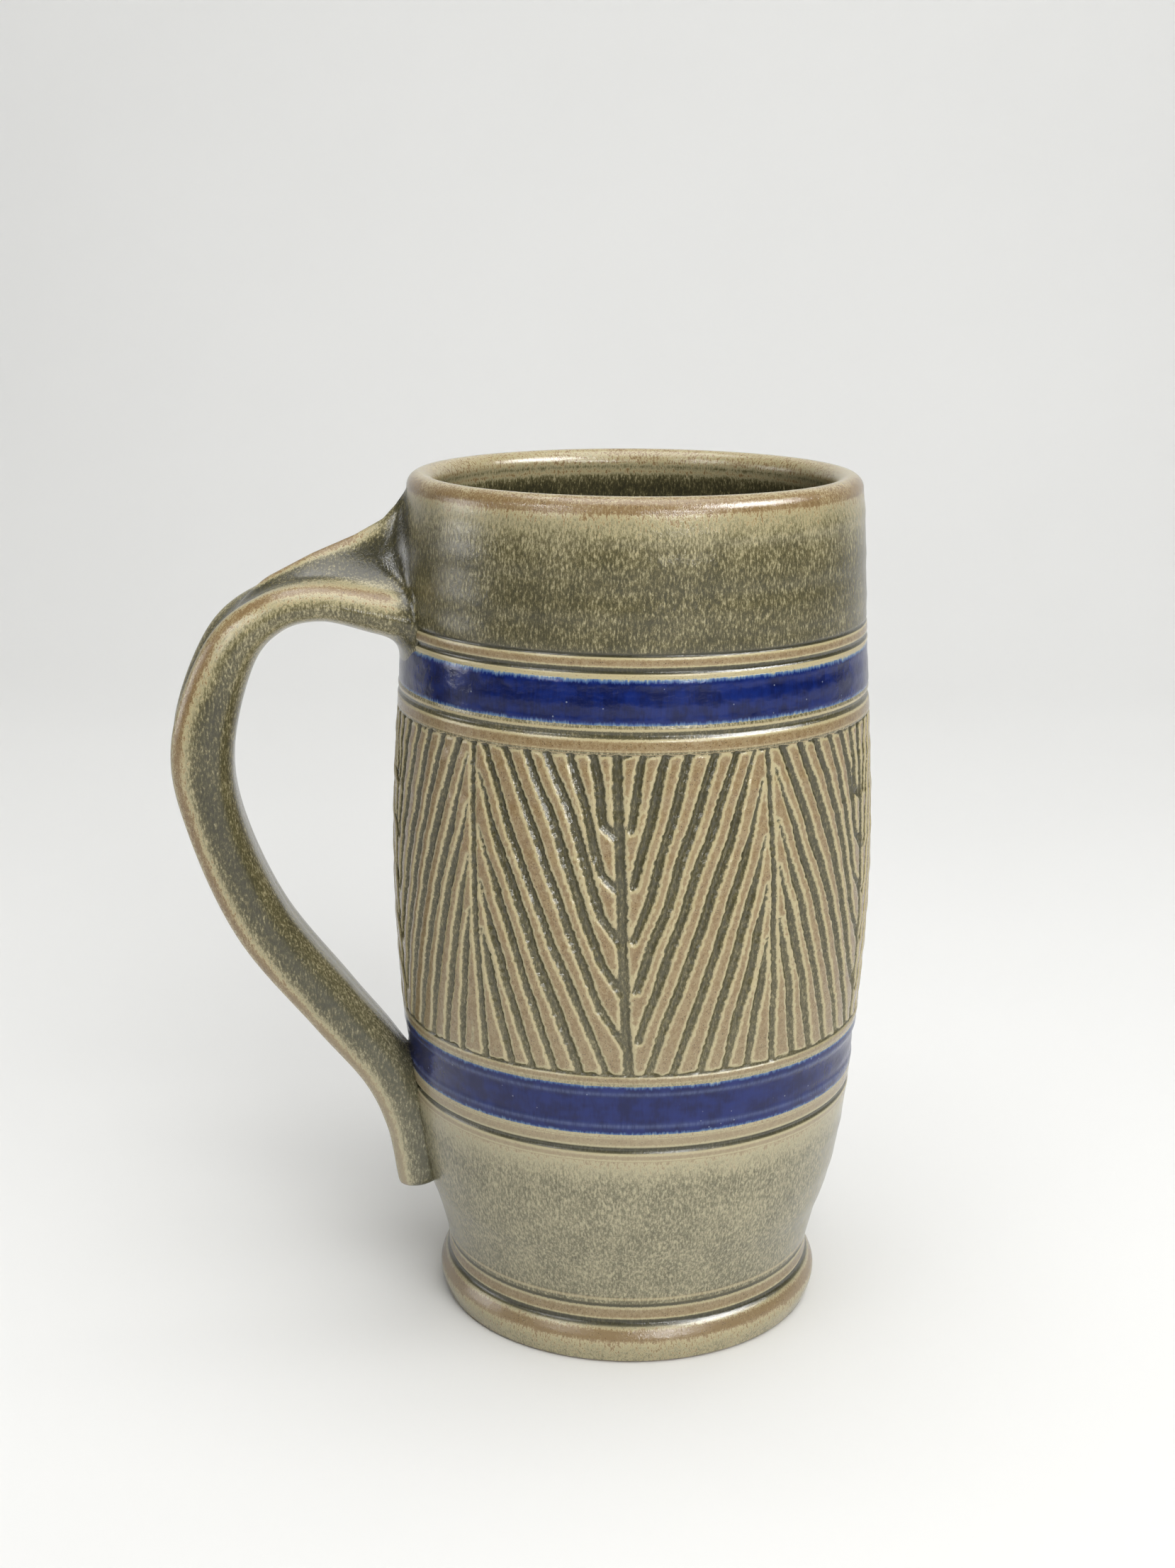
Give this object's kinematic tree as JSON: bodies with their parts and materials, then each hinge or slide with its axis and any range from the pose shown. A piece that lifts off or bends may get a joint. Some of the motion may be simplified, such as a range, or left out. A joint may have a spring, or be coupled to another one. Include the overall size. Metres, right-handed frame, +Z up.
{
  "type": "beer stein",
  "caption": "Tall lidless stoneware beer stein, barrel-shaped on a flared foot, with a carved leaf field between blue glaze bands and one pulled strap handle.",
  "frame": {"origin": "centre of the foot's flat underside, on the body's turning axis", "axes": "+Z up along the turning axis; the handle points along -X; the object is symmetric about the XZ plane apart from its hand carving"},
  "size_m": [0.13, 0.0904, 0.16],
  "materials": {
    "olive_glaze": "semi-gloss olive-brown stoneware glaze that breaks to tan on edges and pools dark in grooves",
    "handle_glaze": "the same breaking olive-brown glaze, thinner and browner on the ridges",
    "blue_glaze": "glossy cobalt blue glaze"
  },
  "bodies": {
    "root": {"thrown_body": "olive_glaze", "pulled_handle": "handle_glaze", "upper_blue_glaze_band": "blue_glaze", "lower_blue_glaze_band": "blue_glaze"}
  },
  "joints": []
}
